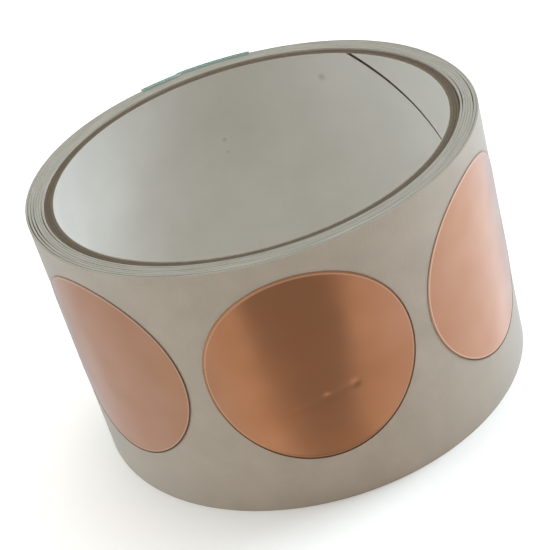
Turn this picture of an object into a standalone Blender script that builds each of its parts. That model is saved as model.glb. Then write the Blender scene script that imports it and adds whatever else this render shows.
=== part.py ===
"""Roll of round copper foil discs on a release liner, wound on a spiral board core.

The roll stands on one end. The core's axis is +Z and the origin is at the centre of the
bottom end face. Azimuths turn anticlockwise from +X, seen from above. The liner is one long
strip: lengths along it are counted from its free end on the outside of the roll, and its
azimuth falls turn by turn on the way in to the core.
"""

import bisect
import math

import bmesh
import bpy
from mathutils import Matrix, Vector

MM = 0.001
DEG = math.pi / 180

# Board core: a white facing inside three brown plies, all cut to one length.
BORE_RADIUS = 38.1 * MM
FACING_THICKNESS = 0.12 * MM
PLY_THICKNESS = 0.555 * MM
GLUE_LINE = 0.02 * MM
CORE_LENGTH = 51.76 * MM
CORE_SEGMENTS = 72

# Release liner: one strip, a little wider than the core is long.
LINER_WIDTH = 52.2 * MM
LINER_THICKNESS = 0.25 * MM
LINER_TURNS = 7
FIRST_TURN_RADIUS = 40.125 * MM
FREE_END_RADIUS = 43.495 * MM
FREE_END_AZIMUTH = 103.3 * DEG
LINER_STEP = 3.5 * MM

# The winding isn't quite round: the outer turns stand off at one side and are pressed in
# at another, and both fade away towards the core.
SWELL = 0.79 * MM
SWELL_AZIMUTH = 140 * DEG
SWELL_HALF_WIDTH = 70 * DEG
DENT = 0.38 * MM
DENT_AZIMUTH = 18 * DEG
DENT_HALF_WIDTH = 35 * DEG

# Copper foil discs, evenly spaced along the liner.
DISC_DIAMETER = 38.0 * MM
DISC_THICKNESS = 0.06 * MM
DISC_PITCH = 42.0 * MM
DISC_HEIGHT = 29.2 * MM
DISC_COLUMNS = 14
DISC_STANDOFF = 0.065 * MM
END_MARGIN = 19.6 * MM

# The tail is the last disc's stretch of liner, which lifts off the roll.
TAIL_LENGTH = END_MARGIN + DISC_PITCH / 2
HINGE_SLIT = 0.3 * MM
DISCS_FREE_TO_PEEL = range(2, 7)

# Green tape across the cut end of the liner. Its top edge stands a little proud of the liner.
TAPE_THICKNESS = 0.06 * MM
TAPE_FIRST_AZIMUTH = 83 * DEG
TAPE_LAST_AZIMUTH = 115.5 * DEG
TAPE_BOTTOM = 0.5 * MM
TAPE_TOP = 52.45 * MM
TAPE_STANDOFF = 0.17 * MM
TAPE_STEP_DOWN = 1.6 * MM
TAPE_PARTS = 8

# Finishes: colour, roughness, metallic.
FINISHES = {
    "facing_paper": ((0.78, 0.78, 0.77), 0.85, 0.0),
    "brown_board": ((0.22, 0.16, 0.11), 0.9, 0.0),
    "release_liner": ((0.62, 0.58, 0.52), 0.6, 0.0),
    "copper_foil": ((0.85, 0.50, 0.34), 0.3, 1.0),
    "green_tape": ((0.15, 0.62, 0.47), 0.35, 0.0),
}

TRACE_STEP = 0.5 * MM


def clear_scene():
    for old in list(bpy.data.objects):
        bpy.data.objects.remove(old, do_unlink=True)


def make_collection(name):
    group = bpy.data.collections.new(name)
    bpy.context.scene.collection.children.link(group)
    return group


def make_material(name):
    colour, roughness, metallic = FINISHES[name]
    material = bpy.data.materials.new(name)
    material.use_nodes = True
    shader = material.node_tree.nodes["Principled BSDF"]
    shader.inputs["Base Color"].default_value = (*colour, 1.0)
    shader.inputs["Roughness"].default_value = roughness
    shader.inputs["Metallic"].default_value = metallic
    return material


# The winding


def lobe(azimuth, centre, half_width):
    """A smooth hump, 1 at centre and 0 from half_width on."""
    away = (azimuth - centre + math.pi) % math.tau - math.pi
    if abs(away) >= half_width:
        return 0.0
    return math.cos(away / half_width * math.pi / 2) ** 2


def liner_radius(azimuth):
    """Radius of the middle of the liner's thickness."""
    turns_in = (FREE_END_AZIMUTH - azimuth) / math.tau
    turn_pitch = (FREE_END_RADIUS - FIRST_TURN_RADIUS) / LINER_TURNS
    looseness = 1 - turns_in / LINER_TURNS
    swell = SWELL * lobe(azimuth, SWELL_AZIMUTH, SWELL_HALF_WIDTH)
    dent = DENT * lobe(azimuth, DENT_AZIMUTH, DENT_HALF_WIDTH)
    return FREE_END_RADIUS - turn_pitch * turns_in + looseness * (swell - dent)


def trace_liner():
    """Lengths from the free end, and the azimuth at each, all the way to the core."""
    lengths = [0.0]
    azimuths = [FREE_END_AZIMUTH]
    while azimuths[-1] > FREE_END_AZIMUTH - LINER_TURNS * math.tau:
        lengths.append(lengths[-1] + TRACE_STEP)
        azimuths.append(azimuths[-1] - TRACE_STEP / liner_radius(azimuths[-1]))
    return lengths, azimuths


LENGTHS, AZIMUTHS = trace_liner()
LINER_LENGTH = LENGTHS[-1]
DISC_COUNT = int((LINER_LENGTH - 2 * END_MARGIN) / DISC_PITCH) + 1


def azimuth_at(length):
    """Azimuth of the liner at a length from its free end, which may lie a little outside it."""
    upper = min(max(bisect.bisect(LENGTHS, length), 1), len(LENGTHS) - 1)
    share = (length - LENGTHS[upper - 1]) / TRACE_STEP
    return AZIMUTHS[upper - 1] + share * (AZIMUTHS[upper] - AZIMUTHS[upper - 1])


def on_roll(azimuth, radius, height):
    return Vector((radius * math.cos(azimuth), radius * math.sin(azimuth), height))


def liner_face(length, standoff, height=0.0):
    """The point that lies standoff above the liner's outer face, at this length along it."""
    azimuth = azimuth_at(length)
    return on_roll(azimuth, liner_radius(azimuth) + LINER_THICKNESS / 2 + standoff, height)


def disc_centre(number):
    """Length along the liner of a disc's centre. Disc 1 is the nearest to the free end."""
    return END_MARGIN + (number - 1) * DISC_PITCH


# Shapes


def add_weighted_normals(obj):
    obj.modifiers.new("soft_shading", "WEIGHTED_NORMAL").keep_sharp = True


def make_tube(group, name, inner, outer, height, material):
    """A tube about Z that stands on the bottom plane: a turned rectangle."""
    profile = [(outer, height), (outer, 0.0), (inner, 0.0), (inner, height)]
    mesh = bpy.data.meshes.new(name)
    edges = [(i, (i + 1) % len(profile)) for i in range(len(profile))]
    mesh.from_pydata([(x, 0.0, z) for x, z in profile], edges, [])
    obj = bpy.data.objects.new(name, mesh)
    group.objects.link(obj)
    turn = obj.modifiers.new("turned", "SCREW")
    turn.steps = turn.render_steps = CORE_SEGMENTS
    turn.use_smooth_shade = True
    turn.use_merge_vertices = True
    turn.merge_threshold = 0.01 * MM
    add_weighted_normals(obj)
    mesh.materials.append(material)
    return obj


def make_ribbon(group, name, path, low, high, thickness, material):
    """A strip on edge: a path in plan, extruded from low to high and given its thickness."""
    curve = bpy.data.curves.new(name, "CURVE")
    curve.dimensions = "2D"
    curve.fill_mode = "NONE"
    curve.extrude = (high - low) / 2
    spline = curve.splines.new("POLY")
    spline.points.add(len(path) - 1)
    for point, place in zip(spline.points, path):
        point.co = (place.x, place.y, 0.0, 1.0)
    obj = bpy.data.objects.new(name, curve)
    obj.location.z = (low + high) / 2
    group.objects.link(obj)
    sheet = obj.modifiers.new("sheet", "SOLIDIFY")
    sheet.thickness = thickness
    sheet.offset = 0.0
    sheet.use_even_offset = True
    curve.materials.append(material)
    return obj


def make_disc(group, number, material):
    """A disc bent round the roll: a one-row grid whose columns follow the circle."""
    name = f"copper_disc_{number:02d}"
    radius = DISC_DIAMETER / 2
    sheet = bmesh.new()
    bmesh.ops.create_grid(sheet, x_segments=DISC_COLUMNS, y_segments=1, size=1.0)
    for vertex in sheet.verts:
        across = radius * math.sin(vertex.co.x * math.pi / 2)
        above = radius * math.cos(vertex.co.x * math.pi / 2) * vertex.co.y
        length = disc_centre(number) - across
        standoff = DISC_STANDOFF + DISC_THICKNESS / 2
        vertex.co = liner_face(length, standoff, DISC_HEIGHT + above)
    bmesh.ops.remove_doubles(sheet, verts=sheet.verts, dist=0.001 * MM)
    mesh = bpy.data.meshes.new(name)
    sheet.to_mesh(mesh)
    sheet.free()
    mesh.shade_smooth()
    obj = bpy.data.objects.new(name, mesh)
    group.objects.link(obj)
    foil = obj.modifiers.new("foil", "SOLIDIFY")
    foil.thickness = DISC_THICKNESS
    foil.offset = 0.0
    add_weighted_normals(obj)
    mesh.materials.append(material)
    return obj


def move_origin(obj, point):
    """Puts the object's origin on a vertical axis through point, and leaves its shape in place."""
    shift = Vector((point.x, point.y, 0.0))
    obj.data.transform(Matrix.Translation(-shift))
    obj.location += shift


def put_on_hinge(group, name, point, pieces):
    """An empty on the joint's axis, with the pieces that turn about it."""
    hinge = bpy.data.objects.new(name, None)
    hinge.empty_display_size = 5 * MM
    hinge.location = (point.x, point.y, 0.0)
    group.objects.link(hinge)
    for piece in pieces:
        move_origin(piece, point)
        piece.location -= hinge.location
        piece.parent = hinge


# The roll


def make_core(group, materials):
    make_tube(
        group,
        "core_facing",
        BORE_RADIUS,
        BORE_RADIUS + FACING_THICKNESS,
        CORE_LENGTH,
        materials["facing_paper"],
    )
    inner = BORE_RADIUS + FACING_THICKNESS + GLUE_LINE
    for layer in ("inner", "middle", "outer"):
        outer = inner + PLY_THICKNESS
        make_tube(
            group, f"core_ply_{layer}", inner, outer, CORE_LENGTH, materials["brown_board"]
        )
        inner = outer + GLUE_LINE


def liner_path(first, last):
    """Points along the middle of the liner, from one length to another."""
    steps = math.ceil((last - first) / LINER_STEP)
    lengths = [first + (last - first) * i / steps for i in range(steps + 1)]
    return [liner_face(length, -LINER_THICKNESS / 2) for length in lengths]


def make_liner(group, name, first, last, materials):
    return make_ribbon(
        group,
        name,
        liner_path(first, last),
        0.0,
        LINER_WIDTH,
        LINER_THICKNESS,
        materials["release_liner"],
    )


def tape_path():
    """Over the tail's last disc, down past the cut end, and on round the turn beneath."""
    path = []
    for i in range(TAPE_PARTS + 1):
        share = i / TAPE_PARTS
        azimuth = TAPE_FIRST_AZIMUTH + share * (FREE_END_AZIMUTH - TAPE_FIRST_AZIMUTH)
        path.append((azimuth, liner_radius(azimuth)))
    past_end = HINGE_SLIT / FREE_END_RADIUS
    path.append((FREE_END_AZIMUTH + past_end, liner_radius(FREE_END_AZIMUTH)))
    landing = FREE_END_AZIMUTH + TAPE_STEP_DOWN / FREE_END_RADIUS
    for i in range(TAPE_PARTS // 2 + 1):
        azimuth = landing + (TAPE_LAST_AZIMUTH - landing) * i / (TAPE_PARTS // 2)
        path.append((azimuth, liner_radius(azimuth - math.tau)))
    rise = LINER_THICKNESS / 2 + TAPE_STANDOFF + TAPE_THICKNESS / 2
    return [on_roll(azimuth, radius + rise, 0.0) for azimuth, radius in path]


def make_end_tape(group, materials):
    return make_ribbon(
        group,
        "end_tape",
        tape_path(),
        TAPE_BOTTOM,
        TAPE_TOP,
        TAPE_THICKNESS,
        materials["green_tape"],
    )


def make_roll():
    group = make_collection("copper_foil_disc_roll")
    materials = {name: make_material(name) for name in FINISHES}
    make_core(group, materials)

    make_liner(group, "liner_web", TAIL_LENGTH + HINGE_SLIT / 2, LINER_LENGTH, materials)
    tail = make_liner(group, "liner_tail", 0.0, TAIL_LENGTH - HINGE_SLIT / 2, materials)
    tape = make_end_tape(group, materials)
    discs = {
        number: make_disc(group, number, materials["copper_foil"])
        for number in range(1, DISC_COUNT + 1)
    }

    put_on_hinge(group, "liner_tail_hinge", liner_face(TAIL_LENGTH, 0.0), [tail, tape, discs[1]])
    for number in DISCS_FREE_TO_PEEL:
        edge = liner_face(disc_centre(number) + DISC_DIAMETER / 2, DISC_STANDOFF)
        put_on_hinge(group, f"disc_{number:02d}_hinge", edge, [discs[number]])


clear_scene()
make_roll()
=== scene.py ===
"""Looks for the roll of copper foil discs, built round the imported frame.

Every length is in metres in the row frame: the roll stands on one end, its core's axis is +Z
and the origin is at the centre of the bottom face. Azimuths turn anticlockwise from +X.
"""

import bisect
import math

import bpy
from mathutils import Matrix, Vector, noise


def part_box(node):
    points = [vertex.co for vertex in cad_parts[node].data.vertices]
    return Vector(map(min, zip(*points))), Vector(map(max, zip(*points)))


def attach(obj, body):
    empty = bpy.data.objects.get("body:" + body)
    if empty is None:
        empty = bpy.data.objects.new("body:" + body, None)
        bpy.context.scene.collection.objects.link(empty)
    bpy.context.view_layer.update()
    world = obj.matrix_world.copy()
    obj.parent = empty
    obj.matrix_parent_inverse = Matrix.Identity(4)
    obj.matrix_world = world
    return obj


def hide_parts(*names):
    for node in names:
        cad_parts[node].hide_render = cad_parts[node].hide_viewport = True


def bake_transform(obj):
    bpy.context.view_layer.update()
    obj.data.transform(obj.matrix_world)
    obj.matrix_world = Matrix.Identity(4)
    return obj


MM = 0.001
DEG = math.pi / 180

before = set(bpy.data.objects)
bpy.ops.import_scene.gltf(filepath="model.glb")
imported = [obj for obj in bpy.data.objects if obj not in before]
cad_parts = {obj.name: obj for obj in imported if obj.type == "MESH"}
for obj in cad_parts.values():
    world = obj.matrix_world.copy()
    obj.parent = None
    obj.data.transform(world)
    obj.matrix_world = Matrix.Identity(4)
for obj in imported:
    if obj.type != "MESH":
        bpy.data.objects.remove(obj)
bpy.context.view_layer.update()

# The winding, as the frame has it: radii are those of the middle of the sheet.
LINER_WIDTH = 52.2 * MM
LINER_THICKNESS = 0.25 * MM
FIRST_TURN_RADIUS = 40.125 * MM
FREE_END_RADIUS = 43.495 * MM
FREE_END_AZIMUTH = 103.3 * DEG
LINER_TURNS = 7
SWELL = (0.79 * MM, 140 * DEG, 70 * DEG)
DENT = (0.38 * MM, 18 * DEG, 35 * DEG)

# The sheet is drawn thicker than the frame's, inwards, so that the turns nearly touch: it fills
# this share of the room for one turn, less for the outermost turn and where gaps open.
SHEET_FILL = 0.89
LOOSE_FILL = 0.78
CORE_CLEARANCE = 0.02 * MM
# The innermost turn lies on the core, and each turn steps over the one beneath it near its end.
STEP_ANGLE = 14 * DEG

# Where a few turns part and the rest crowd together: azimuth, half width, the turns that have a
# gap inside them (0 is the outermost), and how wide it opens.
GAPS = (
    (-166 * DEG, 22 * DEG, (0, 1, 2, 5), 0.155 * MM),
    (-4 * DEG, 20 * DEG, (1, 5, 6), 0.19 * MM),
)
# The slit edges wander this much in height.
EDGE_WANDER = 0.12 * MM

DISC_RADIUS = 19.0 * MM
DISC_PITCH = 42.0 * MM
DISC_HEIGHT = 29.2 * MM
DISC_STANDOFF = 0.03 * MM
DISC_THICKNESS = 0.055 * MM
# On the flat sheet of the materials the discs lie this far apart.
DISC_SPREAD = 50 * MM
END_MARGIN = 19.6 * MM
TAIL_LENGTH = END_MARGIN + DISC_PITCH / 2
# The tail's sheet reaches this far past its hinge before the rest of the winding begins.
JOIN_LENGTH = TAIL_LENGTH + 6 * MM
# How long a stretch bend_zone marks out from the tail's hinge, and from a disc's edge.
TAIL_BEND = 7 * MM
DISC_BEND = 8 * MM
OUTER_DISCS = range(1, 9)
PEELING_DISCS = range(2, 7)

TAPE_AZIMUTHS = (83 * DEG, 115.5 * DEG)
TAPE_HEIGHTS = (0.5 * MM, 52.45 * MM)
TAPE_THICKNESS = 0.06 * MM
TAPE_STANDOFF = 0.17 * MM
TAPE_STEP_DOWN = 1.6 * MM
# The film is wider than the liner, and its top edge is pressed over on to the rim.
TAPE_LIP = 1.6 * MM
TAPE_LIP_DROP = 0.15 * MM
TAPE_BEND = 0.12 * MM
TAPE_CRINKLE = 0.02 * MM
TAPE_RAGGED = 0.12 * MM

# Core: sheets of its spiral wall, and the helix of the butt seam in the white facing.
FACING_THICKNESS = 0.12 * MM
PLY_THICKNESS = 0.555 * MM
SEAM_TOP_AZIMUTH = 49.5 * DEG
SEAM_DEG_PER_M = 2479 * DEG
SEAM_GAP = (1.35 * MM, 0.72 * MM)
SEAM_NARROWS = 22 * MM
# How unevenly the core was cut: the sides of the seam, the facing's top and the plies' tops, with
# the band below a ply's top that it reaches.
SEAM_RAGGED = 0.05 * MM
FACING_RAGGED = 0.03 * MM
PLY_RAGGED = (0.05 * MM, 0.008 * MM)
PLY_CUT_BAND = 0.2 * MM

COPPER_FACE = (0.82, 0.43, 0.275)
COPPER_ROUGHNESS = 0.18
COPPER_BACK = (0.62, 0.36, 0.25)
COPPER_BACK_ROUGHNESS = 0.5
# Colour of the painted highlight, a pale ring just inside each disc's edge.
PAINTED_RIM_HIGHLIGHT = (1.0, 0.70, 0.52)
# How fast the painted highlight and the painted shadow on a disc's edge change from side to side, for
# each metre across and up.
EDGE_LEAN = (16, 26)

# Paper colours, low and high: the liner's coated face and its back.
LINER_FACE = ((0.405, 0.335, 0.267), (0.46, 0.383, 0.306))
LINER_BACK = ((0.58, 0.52, 0.455), (0.63, 0.57, 0.505))

# Board colours: the three plies from the bore outwards, the inner ply's bore side painted darker
# as shade where it shows in the open seam, and the facing's own cut edge.
BOARD_TONES = ((0.118, 0.086, 0.052), (0.092, 0.067, 0.040), (0.110, 0.080, 0.048))
# Painted shade: the inner ply's bore side, darker where it shows through the open seam.
SEAM_PAINTED_SHADE = (0.066, 0.047, 0.029)
FACING_CUT = (0.36, 0.29, 0.22)

# Small marks. Dents in the disc that faces the camera are (across, up, size) in mm from its
# middle. Specks inside the core are (azimuth in degrees, height in mm, size in mm).
DENTS = ((1.03, -6.28, 0.65), (6.39, -5.29, 0.6))
SPECKS = ((97.4, 36.7, 0.32), (97.3, 33.7, 0.22), (60.9, 46.5, 0.55))

DENT_DEPTH = 0.055 * MM
MARKED_DISC = 4
COVERED_DISC = 8
# The faint crease through the dents, in mm on the disc: a line, its reach and its width.
CREASE_SLOPE = 0.225
CREASE_HEIGHT = -6.6
CREASE_MIDDLE = -0.2
CREASE_HALF = 6.5
CREASE_WIDTH = 0.5
CREASE_DEPTH = 0.009 * MM
# A disc's edge curls up a little where the die cut it.
LIP_HEIGHT = 0.05 * MM
LIP_START = 0.972

# How finely the pieces are drawn.
TRACE_STEP = 0.5 * MM
FACING_COLUMNS = 288
FACING_ROWS = 40
PLY_COLUMNS = 360
PLY_ROWS = 6
WEB_STEP = 1.2 * MM
WEB_ROWS = 10
TAIL_STEP = 0.6 * MM
TAIL_ROWS = 16
DISC_RINGS = 40
DISC_SPOKES = 128
TAPE_COLUMNS = 90
TAPE_ROWS = 24
TAPE_BEND_ROWS = 6

CORE_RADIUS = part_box("core_ply_outer")[1].x

# What the studio looks like all round: azimuth in degrees, then the colour there.
STUDIO_WALLS = (
    (-180, (0.48, 0.53, 0.56)),
    (-150, (0.47, 0.48, 0.45)),
    (-122, (0.53, 0.46, 0.36)),
    (-64, (0.50, 0.43, 0.34)),
    (-36, (0.58, 0.56, 0.54)),
    (-8, (0.68, 0.74, 0.79)),
    (40, (0.97, 1.15, 1.34)),
    (85, (0.55, 0.63, 0.68)),
    (130, (0.57, 0.64, 0.69)),
    (180, (0.48, 0.53, 0.56)),
)
# A dim patch in front, which the middle disc mirrors: where, how dim, how far across. It and the
# walls were tuned until the copper looked as in the photo from the camera's side.
DIM_AZIMUTH = -90.8 * DEG
DIM_ELEVATION = -2 * DEG
DIM_SHADE = 0.44
DIM_REACH = (35.9 * DEG, 41.7 * DEG)
FLOOR_SIZE = 4.0
FLOOR_DROP = 0.02 * MM

# The camera, solved from the photo.
CAMERA_PLACE = (2.92 * MM, -239.66 * MM, 167.89 * MM)
CAMERA_HEADING = 1.18 * DEG
CAMERA_DOWN = 31.12 * DEG
CAMERA_ROLL = -16.6 * DEG
CAMERA_LENS = 92.6
CAMERA_SENSOR = 36


# The winding's line


def lobe(azimuth, centre, half_width):
    """A smooth hump, 1 at centre and 0 from half_width on."""
    away = (azimuth - centre + math.pi) % math.tau - math.pi
    if abs(away) >= half_width:
        return 0.0
    return math.cos(away / half_width * math.pi / 2) ** 2


def smooth(share):
    """Eases a share from 0 to 1."""
    return share * share * (3 - 2 * share)


def liner_radius(azimuth):
    """Middle of the frame's sheet. The azimuth falls turn by turn on the way in to the core."""
    turns_in = (FREE_END_AZIMUTH - azimuth) / math.tau
    pitch = (FREE_END_RADIUS - FIRST_TURN_RADIUS) / LINER_TURNS
    looseness = 1 - turns_in / LINER_TURNS
    swell = SWELL[0] * lobe(azimuth, *SWELL[1:])
    dent = DENT[0] * lobe(azimuth, *DENT[1:])
    return FREE_END_RADIUS - pitch * turns_in + looseness * (swell - dent)


def gap_shift(turn, azimuth):
    """How far a turn lies outside its even place, where some gaps are open and the rest shut."""
    shift = 0.0
    for centre, half_width, open_turns, size in GAPS:
        shut = turn * len(open_turns) / (LINER_TURNS - 1)
        opened = sum(1 for k in open_turns if k < turn)
        shift += lobe(azimuth, centre, half_width) * size * (shut - opened)
    return shift


def turn_place(turn, azimuth):
    """Outer face and thickness of a turn, where the turns share the room out to the outermost."""
    outermost = liner_radius(azimuth) + LINER_THICKNESS / 2
    room = outermost - CORE_RADIUS - CORE_CLEARANCE
    pitch = room / (LINER_TURNS - 1 + LOOSE_FILL)
    looseness = max(lobe(azimuth, gap[0], gap[1]) for gap in GAPS)
    fill = LOOSE_FILL if turn == 0 else SHEET_FILL + (LOOSE_FILL - SHEET_FILL) * looseness
    if turn == LINER_TURNS - 1:
        fill = LOOSE_FILL
    return outermost - turn * pitch + gap_shift(turn, azimuth), fill * pitch


def sheet_place(azimuth):
    """Outer face and thickness of the drawn sheet, anywhere along it."""
    turn = min(int((FREE_END_AZIMUTH - azimuth) // math.tau), LINER_TURNS - 1)
    here = azimuth + turn * math.tau
    face, thickness = turn_place(turn, here)
    near_end = 1 - (here - FREE_END_AZIMUTH + math.tau) / STEP_ANGLE
    if turn < LINER_TURNS - 1 and near_end > 0:
        share = smooth(near_end)
        next_face, next_thickness = turn_place(turn + 1, FREE_END_AZIMUTH)
        last_face, last_thickness = turn_place(turn, FREE_END_AZIMUTH - math.tau)
        face += share * (next_face - last_face)
        thickness += share * (next_thickness - last_thickness)
    return face, thickness


def face_radius(azimuth):
    """Radius of the drawn sheet's outer face."""
    return sheet_place(azimuth)[0]


def trace():
    """Lengths along the liner, in even steps from its free end, and the azimuth at each."""
    lengths = [0.0]
    azimuths = [FREE_END_AZIMUTH]
    last = FREE_END_AZIMUTH - LINER_TURNS * math.tau
    while azimuths[-1] > last:
        lengths.append(lengths[-1] + TRACE_STEP)
        azimuths.append(azimuths[-1] - TRACE_STEP / liner_radius(azimuths[-1]))
    return lengths, azimuths


LENGTHS, AZIMUTHS = trace()


def azimuth_at(length):
    """Azimuth at a length along the liner."""
    upper = min(max(bisect.bisect(LENGTHS, length), 1), len(LENGTHS) - 1)
    share = (length - LENGTHS[upper - 1]) / TRACE_STEP
    return AZIMUTHS[upper - 1] + share * (AZIMUTHS[upper] - AZIMUTHS[upper - 1])


def on_roll(azimuth, radius, height):
    """The point with these cylindrical coordinates."""
    return Vector((radius * math.cos(azimuth), radius * math.sin(azimuth), height))


# Mesh helpers


def grid_faces(rows, columns, close_rows=False):
    """Quads of a grid of points whose columns close on themselves, row by row."""
    faces = []
    for i in range(rows if close_rows else rows - 1):
        here = i * columns
        following = (i + 1) % rows * columns
        for j in range(columns):
            k = (j + 1) % columns
            faces.append((here + j, following + j, following + k, here + k))
    return faces


def add_piece(name, points, faces, flat, materials, material_index=None):
    """A mesh object with a UV map named flat, whose coordinates are in metres on the flat sheet."""
    mesh = bpy.data.meshes.new(name)
    mesh.from_pydata(points, [], faces)
    layer = mesh.uv_layers.new(name="flat")
    for loop in mesh.loops:
        layer.data[loop.index].uv = flat[loop.vertex_index]
    for material in materials:
        mesh.materials.append(material)
    if material_index:
        for polygon in mesh.polygons:
            polygon.material_index = material_index(polygon)
    mesh.shade_smooth()
    mesh.set_sharp_from_angle(angle=40 * DEG)
    obj = bpy.data.objects.new(name, mesh)
    bpy.context.scene.collection.objects.link(obj)
    return obj


def sheet_section(low, high, thickness, rows):
    """Cross-section of a standing sheet as (offset, height) points, outer face first, going up."""
    half = thickness / 2
    soft = min(half * 0.6, 0.05 * MM)
    up = [low + soft + (high - low - 2 * soft) * j / rows for j in range(rows + 1)]
    section = [(half, z) for z in up]
    section += [(half - soft, high), (soft - half, high)]
    section += [(-half, z) for z in reversed(up)]
    section += [(soft - half, low), (half - soft, low)]
    return section


def wound_sheet(name, stations, section, place, materials):
    """A closed sheet that follows stations: place(station, offset, height) gives each point.

    The second material goes on the cut edges and ends, the third on the inner face.
    """
    points = []
    flat = []
    for station in stations:
        for offset, height in section:
            points.append(place(station, offset, height))
            flat.append((station, height))
    columns = len(section)
    faces = grid_faces(len(stations), columns)
    sides = len(faces)
    last = (len(stations) - 1) * columns
    faces.append(tuple(range(columns)))
    faces.append(tuple(last + j for j in reversed(range(columns))))
    half = columns // 2
    cut = (half - 3, half - 2, half - 1, columns - 3, columns - 2, columns - 1)

    def index(polygon):
        column = polygon.index % columns
        if polygon.index >= sides or column in cut:
            return 1
        return 2 if column >= half else 0

    return add_piece(name, points, faces, flat, materials, index)


# Materials


class Shading:
    """Builds one node material: nodes are made by kind, and inputs take values or other sockets."""

    def __init__(self, name):
        self.material = bpy.data.materials.new(name)
        self.material.use_nodes = True
        self.tree = self.material.node_tree
        self.shader = self.tree.nodes["Principled BSDF"]

    def set(self, node, values):
        for key, value in values.items():
            socket = node.inputs[key]
            if isinstance(value, bpy.types.NodeSocket):
                self.tree.links.new(value, socket)
            else:
                socket.default_value = value

    def node(self, kind, out=0, values=None, **settings):
        made = self.tree.nodes.new("ShaderNode" + kind)
        for key, value in settings.items():
            setattr(made, key, value)
        self.set(made, values or {})
        return made.outputs[out]

    def flat(self, stretch=(1, 1, 1)):
        """Coordinates on the flat sheet, in metres."""
        uv = self.node("UVMap", uv_map="flat")
        return self.node("Mapping", values={"Vector": uv, "Scale": stretch})

    def noise(self, vector, scale, detail=3.0, roughness=0.55):
        values = {"Vector": vector, "Scale": scale, "Detail": detail, "Roughness": roughness}
        return self.node("TexNoise", values=values)

    def ramp(self, factor, *stops):
        """A colour or grey ramp. A stop is (position, value or colour)."""
        made = self.tree.nodes.new("ShaderNodeValToRGB")
        elements = made.color_ramp.elements
        while len(elements) < len(stops):
            elements.new(0.5)
        for element, (position, colour) in zip(elements, stops):
            element.position = position
            shade = colour if isinstance(colour, tuple) else (colour,) * 3
            element.color = (*shade, 1.0)
        self.tree.links.new(factor, made.inputs[0])
        return made.outputs[0]

    def mix(self, factor, a, b, blend="MIX"):
        made = self.tree.nodes.new("ShaderNodeMix")
        made.data_type = "RGBA"
        made.blend_type = blend
        a = (*a, 1.0) if isinstance(a, tuple) else a
        b = (*b, 1.0) if isinstance(b, tuple) else b
        sockets = {0: factor, 6: a, 7: b}
        for index, value in sockets.items():
            if isinstance(value, bpy.types.NodeSocket):
                self.tree.links.new(value, made.inputs[index])
            else:
                made.inputs[index].default_value = value
        return made.outputs[2]

    def math(self, operation, a, b=0.0, clamp=False):
        return self.node("Math", values={0: a, 1: b}, operation=operation, use_clamp=clamp)

    def bump(self, height, distance, strength=1.0, normal=None):
        values = {"Height": height, "Distance": distance, "Strength": strength}
        if normal is not None:
            values["Normal"] = normal
        return self.node("Bump", values=values)

    def finish(self, **values):
        self.set(self.shader, {key.replace("_", " "): value for key, value in values.items()})
        return self.material


def liner_paper(name, low_tone, high_tone, coat):
    """Siliconised paper: cloudy sheet formation, short fibres, a satin coat."""
    s = Shading(name)
    flat = s.flat()
    clouds = s.noise(flat, 140, 4.0)
    fibres = s.noise(s.flat((1, 2.2, 1)), 2600, 3.0, 0.65)
    base = s.ramp(clouds, (0.3, low_tone), (0.7, high_tone))
    speckle = s.ramp(fibres, (0.3, 0.9), (0.62, 1.0))
    colour = s.mix(1.0, base, speckle, "MULTIPLY")
    rough = s.ramp(clouds, (0.3, 0.42), (0.7, 0.55))
    normal = s.bump(fibres, 0.012 * MM, 0.5, s.bump(clouds, 0.12 * MM, 0.3))
    return s.finish(
        Base_Color=colour,
        Roughness=rough,
        Normal=normal,
        Sheen_Weight=0.15,
        Coat_Weight=coat,
        Coat_Roughness=0.35,
    )


def liner_edge():
    """The slit edge of the liner: raw paper, greyer and rougher than its coated face."""
    s = Shading("release_liner_cut_edge")
    fibres = s.noise(s.flat(), 3200, 3.0, 0.7)
    runs = s.noise(s.flat((0.25, 1, 1)), 420, 3.0)
    base = s.ramp(runs, (0.3, (0.25, 0.235, 0.195)), (0.7, (0.325, 0.305, 0.26)))
    colour = s.mix(1.0, base, s.ramp(fibres, (0.3, 0.82), (0.65, 1.0)), "MULTIPLY")
    return s.finish(Base_Color=colour, Roughness=0.85, Normal=s.bump(fibres, 0.03 * MM, 0.7))


def facing_paper():
    """White kraft lining of the core, with soft blotches and a few stray specks."""
    s = Shading("core_facing_paper")
    flat = s.flat()
    clouds = s.noise(flat, 90, 3.0)
    fibres = s.noise(s.flat((1, 3, 1)), 2200, 4.0, 0.7)
    base = s.ramp(clouds, (0.25, (0.585, 0.565, 0.525)), (0.75, (0.635, 0.615, 0.575)))
    speckle = s.ramp(fibres, (0.28, 0.93), (0.55, 1.0))
    colour = s.mix(1.0, base, speckle, "MULTIPLY")
    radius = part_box("core_facing")[1].x
    for azimuth, height, size in SPECKS:
        place = (azimuth * DEG * radius, height * MM, 0.0)
        away = s.node("VectorMath", 1, {0: flat, 1: place}, operation="DISTANCE")
        dark = s.ramp(s.math("DIVIDE", away, size * 2 * MM), (0.25, 0.45), (1.0, 0.0))
        colour = s.mix(dark, colour, (0.3, 0.27, 0.23))
    normal = s.bump(fibres, 0.02 * MM, 0.6, s.bump(clouds, 0.2 * MM, 0.25))
    return s.finish(Base_Color=colour, Roughness=0.72, Normal=normal, Sheen_Weight=0.1)


def cut_board(name, tone):
    """Brown board: long fibres along the ply, darker and lighter in streaks and clouds."""
    s = Shading(name)
    fibres = s.noise(s.flat((0.35, 1, 1)), 3400, 5.0, 0.7)
    clouds = s.noise(s.flat(), 260, 3.0)
    dark = tuple(0.62 * c for c in tone)
    base = s.ramp(fibres, (0.3, dark), (0.68, tone))
    colour = s.mix(0.35, base, s.ramp(clouds, (0.3, dark), (0.7, tone)))
    normal = s.bump(fibres, 0.06 * MM, 0.9)
    return s.finish(Base_Color=colour, Roughness=0.88, Normal=normal)


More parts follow.
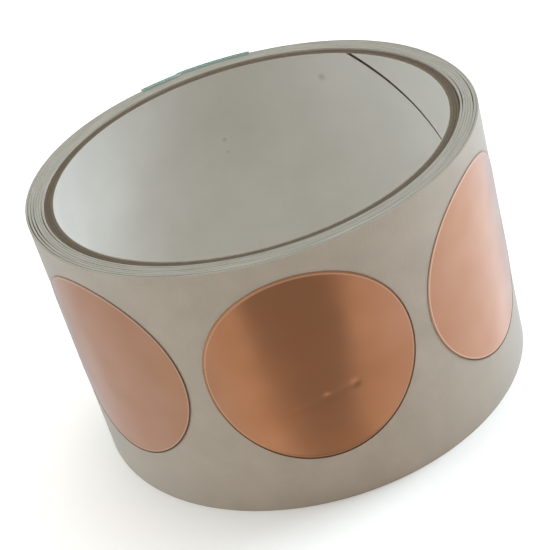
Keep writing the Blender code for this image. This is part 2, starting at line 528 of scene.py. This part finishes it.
def copper(name, tone, rough, on_sheet=True):
    """Rolled copper foil: fine rolling lines along the web, faint tarnish and handling haze.

    A disc drawn here has sheet coordinates, from which its rim is found: a painted highlight ring
    and, outside it, a dark line that is partly the adhesive's edge and partly painted shadow. The
    frame's own discs, deep in the winding, have none and take object coordinates.
    """
    s = Shading(name)
    flat = s.flat() if on_sheet else s.node("TexCoord", 3)
    along = s.node("Mapping", values={"Vector": flat, "Scale": (0.05, 1, 1)})
    lines = s.noise(along, 5200, 3.0, 0.6)
    haze = s.noise(flat, 95, 1.0)
    warm = tuple(c * k for c, k in zip(tone, (0.93, 0.86, 0.80)))
    colour = s.mix(s.ramp(haze, (0.35, 0.0), (0.7, 0.7)), tone, warm)
    roughness = s.ramp(haze, (0.3, rough - 0.04), (0.7, rough + 0.06))
    if on_sheet:
        split = s.node("SeparateXYZ", values={0: flat})
        across = s.math("WRAP", split, DISC_SPREAD / 2)
        across.node.inputs[2].default_value = -DISC_SPREAD / 2
        above = split.node.outputs[1]
        squares = s.math("ADD", s.math("MULTIPLY", across, across), s.math("MULTIPLY", above, above))
        reach = s.math("DIVIDE", s.math("SQRT", squares), DISC_RADIUS)
        # A dark line on the rim, partly the adhesive's edge and partly painted shadow, strongest low
        # down and towards the liner's free end; just inside it a painted highlight ring, strongest on
        # the opposite side.
        sideways = s.math("MULTIPLY", across, EDGE_LEAN[0])
        slant = s.math("SUBTRACT", sideways, s.math("MULTIPLY", above, EDGE_LEAN[1]))
        lean = s.math("ADD", slant, 0.5)
        rim = s.ramp(reach, (0.9825, 0.0), (0.9885, 1.0))
        rim = s.math("MULTIPLY", rim, s.ramp(lean, (0.05, 0.1), (0.7, 0.95)))
        ring = s.ramp(reach, (0.969, 0.0), (0.974, 1.0), (0.981, 1.0), (0.984, 0.0))
        ring = s.math("MULTIPLY", ring, s.ramp(lean, (0.2, 0.95), (0.8, 0.6)))
        colour = s.mix(ring, colour, PAINTED_RIM_HIGHLIGHT)
        colour = s.mix(rim, colour, tuple(c * 0.26 for c in warm))
        roughness = s.mix(ring, roughness, (0.36, 0.36, 0.36))
        roughness = s.mix(rim, roughness, (0.5, 0.5, 0.5))
    normal = s.bump(lines, 0.004 * MM, 0.35, s.bump(haze, 0.25 * MM, 0.12))
    return s.finish(
        Base_Color=colour, Metallic=1.0, Roughness=roughness, Normal=normal, Anisotropic=0.35
    )


def foil_edge():
    """The cut edge of the foil and its adhesive, darker than the face."""
    s = Shading("foil_cut_edge")
    grain = s.noise(s.flat(), 2400, 3.0)
    colour = s.ramp(grain, (0.3, (0.22, 0.085, 0.045)), (0.7, (0.36, 0.15, 0.08)))
    return s.finish(Base_Color=colour, Metallic=0.7, Roughness=0.5)


def green_film():
    """Thin green film, see-through, with its adhesive's faint mottle."""
    s = Shading("green_tape_film")
    mottle = s.noise(s.flat(), 420, 4.0)
    stretch = s.noise(s.flat((1, 0.08, 1)), 1500, 2.0)
    colour = s.ramp(mottle, (0.3, (0.06, 0.22, 0.17)), (0.7, (0.10, 0.27, 0.21)))
    normal = s.bump(stretch, 0.015 * MM, 0.6, s.bump(mottle, 0.08 * MM, 0.3))
    # The film shows most where it bends over the rim, and fades where it lies flat on the rim.
    height = s.node("SeparateXYZ", 1, {0: s.flat()})
    past = s.math("DIVIDE", s.math("SUBTRACT", height, TAPE_HEIGHTS[1] - 0.3 * MM), TAPE_LIP)
    cling = s.ramp(past, (0.0, 0.44), (0.08, 0.80), (0.30, 0.70), (0.42, 0.26), (1.0, 0.12))
    return s.finish(
        Base_Color=colour,
        Roughness=0.28,
        Normal=normal,
        Alpha=s.math("MULTIPLY", cling, s.ramp(mottle, (0.2, 0.86), (0.8, 1.0))),
        Coat_Weight=0.3,
    )


def floor_paint():
    """Pale matt paint, hardly clouded."""
    s = Shading("studio_floor")
    tone = s.noise(s.node("TexCoord", 3), 4.0)
    colour = s.ramp(tone, (0.3, (0.92, 0.92, 0.91)), (0.7, (0.94, 0.94, 0.93)))
    return s.finish(
        Base_Color=colour, Roughness=0.8, Emission_Color=(1, 1, 1, 1), Emission_Strength=0.10
    )


# Core


def seam_gap(below):
    """Width of the seam at a depth below the top edge: it narrows on the way down."""
    wide, narrow = SEAM_GAP
    return wide + (narrow - wide) * min(1.0, below / SEAM_NARROWS)


def make_facing(materials):
    """The white facing: a strip wound on a steep helix, so its butt seam is a real slit."""
    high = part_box("core_facing")[1]
    outer = high.x
    height = high.z
    rows = FACING_ROWS
    columns = rows * 2 + 2
    points = []
    flat = []
    for i in range(FACING_COLUMNS + 1):
        share = i / FACING_COLUMNS
        for j in range(columns):
            outside = j <= rows
            level = j if outside else columns - 1 - j
            z = height * level / rows
            slit = seam_gap(height - z) / outer
            seam = SEAM_TOP_AZIMUTH - (height - z) * SEAM_DEG_PER_M
            azimuth = seam + slit / 2 + share * (math.tau - slit)
            if i in (0, FACING_COLUMNS):
                azimuth += SEAM_RAGGED / outer * noise.noise(Vector((azimuth * 9, z * 900, 5.0)))
            if level == rows:
                z += min(0.0, FACING_RAGGED * noise.noise(Vector((azimuth * 14, 1.0, 0.0))))
            points.append(on_roll(azimuth, outer if outside else outer - FACING_THICKNESS, z))
            flat.append((((azimuth + math.pi) % math.tau - math.pi) * outer, z))
    faces = [face[::-1] for face in grid_faces(FACING_COLUMNS + 1, columns)]
    sides = len(faces)
    for i, flip in ((0, False), (FACING_COLUMNS, True)):
        for level in range(rows):
            a = i * columns + level
            b = i * columns + columns - 1 - level
            face = (a, a + 1, b - 1, b)
            faces.append(face[::-1] if flip else face)

    def index(polygon):
        cut = polygon.index >= sides or polygon.index % columns in (rows, columns - 1)
        return 1 if cut else 0

    piece = add_piece("core_white_facing", points, faces, flat, materials, index)
    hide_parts("core_facing")
    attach(piece, "root")


def make_ply(layer, materials):
    """One brown ply, its cut end a little uneven. The second material is on its bore side."""
    node = f"core_ply_{layer}"
    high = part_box(node)[1]
    middle = high.x - PLY_THICKNESS / 2
    section = sheet_section(0.0, high.z, PLY_THICKNESS, PLY_ROWS)
    columns = len(section)
    points = []
    flat = []
    for i in range(PLY_COLUMNS):
        azimuth = i / PLY_COLUMNS * math.tau
        key = Vector((math.cos(azimuth) * 40, math.sin(azimuth) * 40, middle * 9000))
        for offset, height in section:
            radius = middle + offset
            z = height
            if height > high.z - PLY_CUT_BAND:
                z += PLY_RAGGED[0] * (noise.noise(key) - 0.6)
                radius += PLY_RAGGED[1] * noise.noise(key * 1.7)
            points.append(on_roll(azimuth, radius, z))
            flat.append((azimuth * middle, height))
    faces = grid_faces(PLY_COLUMNS, columns, close_rows=True)

    def index(polygon):
        bore_side = columns // 2 <= polygon.index % columns < columns - 2
        return len(materials) - 1 if bore_side else 0

    piece = add_piece(f"core_board_{layer}", points, faces, flat, materials, index)
    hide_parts(node)
    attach(piece, "root")


# Liner


def liner_place(length, offset, height):
    """A point of the drawn liner, offset being 1 on its outer face and -1 on its inner one."""
    azimuth = azimuth_at(length)
    low = EDGE_WANDER * (0.5 + 0.5 * noise.noise(Vector((length * 14, 0.0, 7.0))))
    above = max(0.0, height / LINER_WIDTH - 0.9) * 10
    face, thickness = sheet_place(azimuth)
    radius = face - thickness * (1 - offset) / 2
    return on_roll(azimuth, radius, height - low * above)


def stations_between(first, last, step):
    """Even lengths from last back to first, no more than step apart."""
    count = math.ceil((last - first) / step)
    return [last - (last - first) * i / count for i in range(count + 1)]


def make_liner(name, node, first, last, step, rows, materials):
    section = sheet_section(0.0, LINER_WIDTH, LINER_THICKNESS, rows)
    section = [(offset * 2 / LINER_THICKNESS, height) for offset, height in section]
    piece = wound_sheet(name, stations_between(first, last, step), section, liner_place, materials)
    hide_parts(node)
    return piece


def tangent(azimuth):
    """The way the azimuth grows, which is towards the liner's free end."""
    return Vector((-math.sin(azimuth), math.cos(azimuth), 0.0))


def bend_zone(length, reach):
    """Start and end of the stretch that bends, from a length along the liner towards its free end."""
    azimuth = azimuth_at(length)
    start = on_roll(azimuth, liner_radius(azimuth), DISC_HEIGHT)
    return start, start + tangent(azimuth) * reach


# Discs


def disc_shape(number, across, above):
    """How far a disc's face stands above a true cylinder at a point on it."""
    reach = math.hypot(across, above) / DISC_RADIUS
    lip = LIP_HEIGHT * max(0.0, (reach - LIP_START) / (1 - LIP_START)) ** 2
    if number == COVERED_DISC:
        lip = 0.0
    seed = Vector((across * 60, above * 40, number * 3.7))
    wave = 0.030 * MM * noise.noise(seed) * (1 - reach * reach)
    marks = 0.0
    if number == MARKED_DISC:
        for x, z, size in DENTS:
            away = math.hypot(across - x * MM, above - z * MM) / (size * MM)
            marks -= DENT_DEPTH * math.exp(-away * away)
        x = across / MM
        below = above / MM - (CREASE_SLOPE * x + CREASE_HEIGHT)
        run = math.exp(-(((x - CREASE_MIDDLE) / CREASE_HALF) ** 4))
        marks -= CREASE_DEPTH * run * math.exp(-((below / CREASE_WIDTH) ** 2))
    return lip + wave + marks


def make_disc(number, materials):
    """One foil disc, laid on the winding. Its materials are for its face, its back and its edge."""
    rings = DISC_RINGS
    spokes = DISC_SPOKES
    centre = END_MARGIN + (number - 1) * DISC_PITCH
    points = []
    flat = []
    for side in (1, 0):
        for ring in range(rings + 1):
            reach = DISC_RADIUS * (ring / rings) ** 0.8
            for spoke in range(spokes if ring else 1):
                turn = math.tau * spoke / spokes
                across = reach * math.cos(turn)
                above = reach * math.sin(turn)
                azimuth = azimuth_at(centre - across)
                face = disc_shape(number, across, above)
                height = DISC_STANDOFF + side * DISC_THICKNESS + face
                radius = face_radius(azimuth) + height
                points.append(on_roll(azimuth, radius, DISC_HEIGHT + above))
                flat.append((across + number * DISC_SPREAD, above))
    per_side = 1 + rings * spokes
    faces = []
    for side, start in ((1, 0), (0, per_side)):
        for spoke in range(spokes):
            other = (spoke + 1) % spokes
            inner = [(start, start + 1 + spoke, start + 1 + other)]
            for ring in range(rings - 1):
                a = start + 1 + ring * spokes
                b = a + spokes
                inner.append((a + spoke, b + spoke, b + other, a + other))
            faces += inner if side else [face[::-1] for face in inner]
    rim = 1 + (rings - 1) * spokes
    for spoke in range(spokes):
        other = (spoke + 1) % spokes
        faces.append((rim + spoke, per_side + rim + spoke, per_side + rim + other, rim + other))
    front = len(faces) - spokes

    def index(polygon):
        if polygon.index >= front:
            return 2
        return 0 if polygon.index < front // 2 else 1

    piece = add_piece(f"foil_disc_{number:02d}", points, faces, flat, materials, index)
    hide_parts(f"copper_disc_{number:02d}")
    return piece


# Tape


def tape_section():
    """The film's cross-section: up the outside of the roll, then in over the rim."""
    low, high = TAPE_HEIGHTS
    top = high - TAPE_THICKNESS / 2
    line = [(0.0, low + (top - TAPE_BEND - low) * j / TAPE_ROWS) for j in range(TAPE_ROWS)]
    for j in range(TAPE_BEND_ROWS + 1):
        turn = math.pi / 2 * j / TAPE_BEND_ROWS
        line.append((TAPE_BEND * (math.cos(turn) - 1), top + TAPE_BEND * (math.sin(turn) - 1)))
    for j in range(1, TAPE_BEND_ROWS + 1):
        share = j / TAPE_BEND_ROWS
        line.append((-TAPE_BEND - (TAPE_LIP - TAPE_BEND) * share, top - TAPE_LIP_DROP * share))
    outside = []
    inside = []
    for j, (x, z) in enumerate(line):
        before = line[max(j - 1, 0)]
        after = line[min(j + 1, len(line) - 1)]
        along = math.hypot(after[0] - before[0], after[1] - before[1])
        across = ((after[1] - before[1]) / along, -(after[0] - before[0]) / along)
        outside.append((x + across[0] * TAPE_THICKNESS / 2, z + across[1] * TAPE_THICKNESS / 2))
        inside.append((x - across[0] * TAPE_THICKNESS / 2, z - across[1] * TAPE_THICKNESS / 2))
    return outside + inside[::-1]


def make_tape(material):
    """Green film from the tail down over its cut end on to the turn beneath."""
    first, last = TAPE_AZIMUTHS
    end = FREE_END_AZIMUTH
    down = end + TAPE_STEP_DOWN / FREE_END_RADIUS
    rise = LINER_THICKNESS / 2 + TAPE_STANDOFF + TAPE_THICKNESS / 2
    section = tape_section()
    points = []
    flat = []
    for i in range(TAPE_COLUMNS + 1):
        azimuth = last + (first - last) * i / TAPE_COLUMNS
        above = liner_radius(min(azimuth, end))
        beneath = liner_radius(max(azimuth, end) - math.tau)
        share = min(1.0, max(0.0, (azimuth - end) / (down - end)))
        radius = rise + above + (beneath - above) * smooth(share)
        for offset, height in section:
            crinkle = TAPE_CRINKLE * (noise.noise(Vector((azimuth * 40, height * 60, 2.0))) - 0.8)
            ragged = TAPE_RAGGED * noise.noise(Vector((height * 700, azimuth, 1.0)))
            shift = ragged / radius if i in (0, TAPE_COLUMNS) else 0.0
            points.append(on_roll(azimuth + shift, radius + offset + crinkle, height))
            flat.append((azimuth * radius, height - offset))
    columns = len(section)
    faces = [face[::-1] for face in grid_faces(TAPE_COLUMNS + 1, columns)]
    faces.append(tuple(reversed(range(columns))))
    faces.append(tuple(TAPE_COLUMNS * columns + j for j in range(columns)))
    piece = add_piece("green_end_tape", points, faces, flat, [material])
    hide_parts("end_tape")
    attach(piece, "tail")


# Stage


def make_stage():
    """A plain pale floor, which the shiny foil doesn't mirror."""
    mesh = bpy.data.meshes.new("studio_floor")
    corners = [(x * FLOOR_SIZE, y * FLOOR_SIZE, 0) for x, y in ((-1, -1), (1, -1), (1, 1), (-1, 1))]
    mesh.from_pydata(corners, [], [(0, 1, 2, 3)])
    mesh.materials.append(floor_paint())
    floor = bpy.data.objects.new("studio_floor", mesh)
    floor.location.z = -FLOOR_DROP
    bpy.context.scene.collection.objects.link(floor)
    floor.visible_glossy = False


def add_light(name, place, target, size, power, colour):
    """A round soft light that looks at the target."""
    light = bpy.data.lights.new(name, "AREA")
    light.shape = "DISK"
    light.size = size
    light.energy = power
    light.color = colour
    obj = bpy.data.objects.new(name, light)
    obj.location = place
    obj.rotation_euler = (Vector(target) - Vector(place)).to_track_quat("-Z", "Y").to_euler()
    bpy.context.scene.collection.objects.link(obj)


def make_lights():
    """A soft cool light from each side, a warmer one overhead, and the studio all round."""
    centre = (0.0, 0.0, 0.03)
    add_light("key_right", (0.50, 0.14, 0.36), centre, 0.35, 2.4, (0.80, 0.93, 1.0))
    add_light("fill_left", (-0.50, 0.0, 0.30), centre, 0.40, 0.9, (0.85, 0.95, 1.0))
    add_light("overhead", (0.0, 0.15, 0.70), centre, 0.50, 2.6, (1.0, 0.955, 0.885))
    make_world()


def make_world():
    """A soft studio: warm in front with a dim patch, cooler and paler towards the sides."""
    world = bpy.data.worlds.new("studio_world")
    bpy.context.scene.world = world
    world.use_nodes = True
    nodes = world.node_tree.nodes
    links = world.node_tree.links
    coords = nodes.new("ShaderNodeTexCoord").outputs["Generated"]
    around = nodes.new("ShaderNodeTexGradient")
    around.gradient_type = "RADIAL"
    walls = nodes.new("ShaderNodeValToRGB")
    elements = walls.color_ramp.elements
    while len(elements) < len(STUDIO_WALLS):
        elements.new(0.5)
    for element, (azimuth, colour) in zip(elements, STUDIO_WALLS):
        element.position = (azimuth + 180) / 360
        element.color = (*colour, 1.0)
    links.new(coords, around.inputs["Vector"])
    links.new(around.outputs["Fac"], walls.inputs["Fac"])
    level = math.cos(DIM_ELEVATION)
    away = nodes.new("ShaderNodeVectorMath")
    away.operation = "DISTANCE"
    away.inputs[1].default_value = (
        level * math.cos(DIM_AZIMUTH), level * math.sin(DIM_AZIMUTH), math.sin(DIM_ELEVATION)
    )
    links.new(coords, away.inputs[0])
    dim = nodes.new("ShaderNodeMapRange")
    dim.interpolation_type = "SMOOTHSTEP"
    dim.inputs["From Min"].default_value = 2 * math.sin(DIM_REACH[0] / 2)
    dim.inputs["From Max"].default_value = 2 * math.sin(DIM_REACH[1] / 2)
    dim.inputs["To Min"].default_value = DIM_SHADE
    links.new(away.outputs["Value"], dim.inputs["Value"])
    shaded = nodes.new("ShaderNodeVectorMath")
    shaded.operation = "SCALE"
    links.new(walls.outputs["Color"], shaded.inputs[0])
    links.new(dim.outputs["Result"], shaded.inputs["Scale"])
    links.new(shaded.outputs["Vector"], nodes["Background"].inputs["Color"])


def make_camera():
    """Looks down on the roll from in front, turned so that the roll leans to the left."""
    data = bpy.data.cameras.new("camera")
    data.sensor_width = CAMERA_SENSOR
    data.lens = CAMERA_LENS
    data.clip_start = 0.01
    camera = bpy.data.objects.new("camera", data)
    heading = Matrix.Rotation(CAMERA_HEADING, 4, "Z")
    tilt = Matrix.Rotation(math.pi / 2 - CAMERA_DOWN, 4, "X")
    roll = Matrix.Rotation(CAMERA_ROLL, 4, "Z")
    place = Matrix.Translation(CAMERA_PLACE)
    camera.matrix_world = place @ heading @ tilt @ roll
    bpy.context.scene.collection.objects.link(camera)
    bpy.context.scene.camera = camera


# The roll


def make_core():
    make_facing([facing_paper(), cut_board("facing_cut_edge", FACING_CUT)])
    make_ply("inner", [cut_board("core_board_inner", BOARD_TONES[0]),
                       cut_board("core_board_seam_painted_shade", SEAM_PAINTED_SHADE)])
    make_ply("middle", [cut_board("core_board_middle", BOARD_TONES[1])])
    make_ply("outer", [cut_board("core_board_outer", BOARD_TONES[2])])


def make_winding():
    """The liner's two pieces: the tail's sheet, which reaches a little past its hinge, and the rest
    of the winding.
    """
    paper = [
        liner_paper("release_liner_paper", *LINER_FACE, 0.18),
        liner_edge(),
        liner_paper("release_liner_back", *LINER_BACK, 0.05),
    ]
    web = make_liner(
        "liner_winding", "liner_web", JOIN_LENGTH, LENGTHS[-1], WEB_STEP, WEB_ROWS, paper
    )
    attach(web, "root")
    tail = make_liner(
        "liner_tail_sheet", "liner_tail", 0.0, JOIN_LENGTH, TAIL_STEP, TAIL_ROWS, paper
    )
    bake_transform(tail)


def make_outer_discs():
    """The discs on and just under the outer turn."""
    foil = [
        copper("copper_foil_face", COPPER_FACE, COPPER_ROUGHNESS),
        copper("copper_foil_back", COPPER_BACK, COPPER_BACK_ROUGHNESS),
        foil_edge(),
    ]
    for number in OUTER_DISCS:
        disc = make_disc(number, foil)
        if number == 1:
            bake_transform(disc)
        elif number in PEELING_DISCS:
            edge = END_MARGIN + (number - 1) * DISC_PITCH + DISC_RADIUS
            bend_zone(edge, DISC_BEND)
            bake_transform(disc)
        else:
            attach(disc, "root")


def paint_wound_in_discs():
    """The frame's own discs, deep in the winding, keep their shapes and get real copper."""
    wound_in = copper("copper_foil_wound_in", COPPER_FACE, COPPER_ROUGHNESS, on_sheet=False)
    for name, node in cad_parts.items():
        if name.startswith("copper_disc") and not node.hide_render:
            for i in range(len(node.data.materials)):
                node.data.materials[i] = wound_in


def make_roll():
    fold = bend_zone(TAIL_LENGTH, TAIL_BEND)
    make_core()
    make_winding()
    make_tape(green_film())
    make_outer_discs()
    paint_wound_in_discs()


make_roll()
make_stage()
make_lights()
make_camera()
bpy.context.scene.view_settings.view_transform = "Standard"
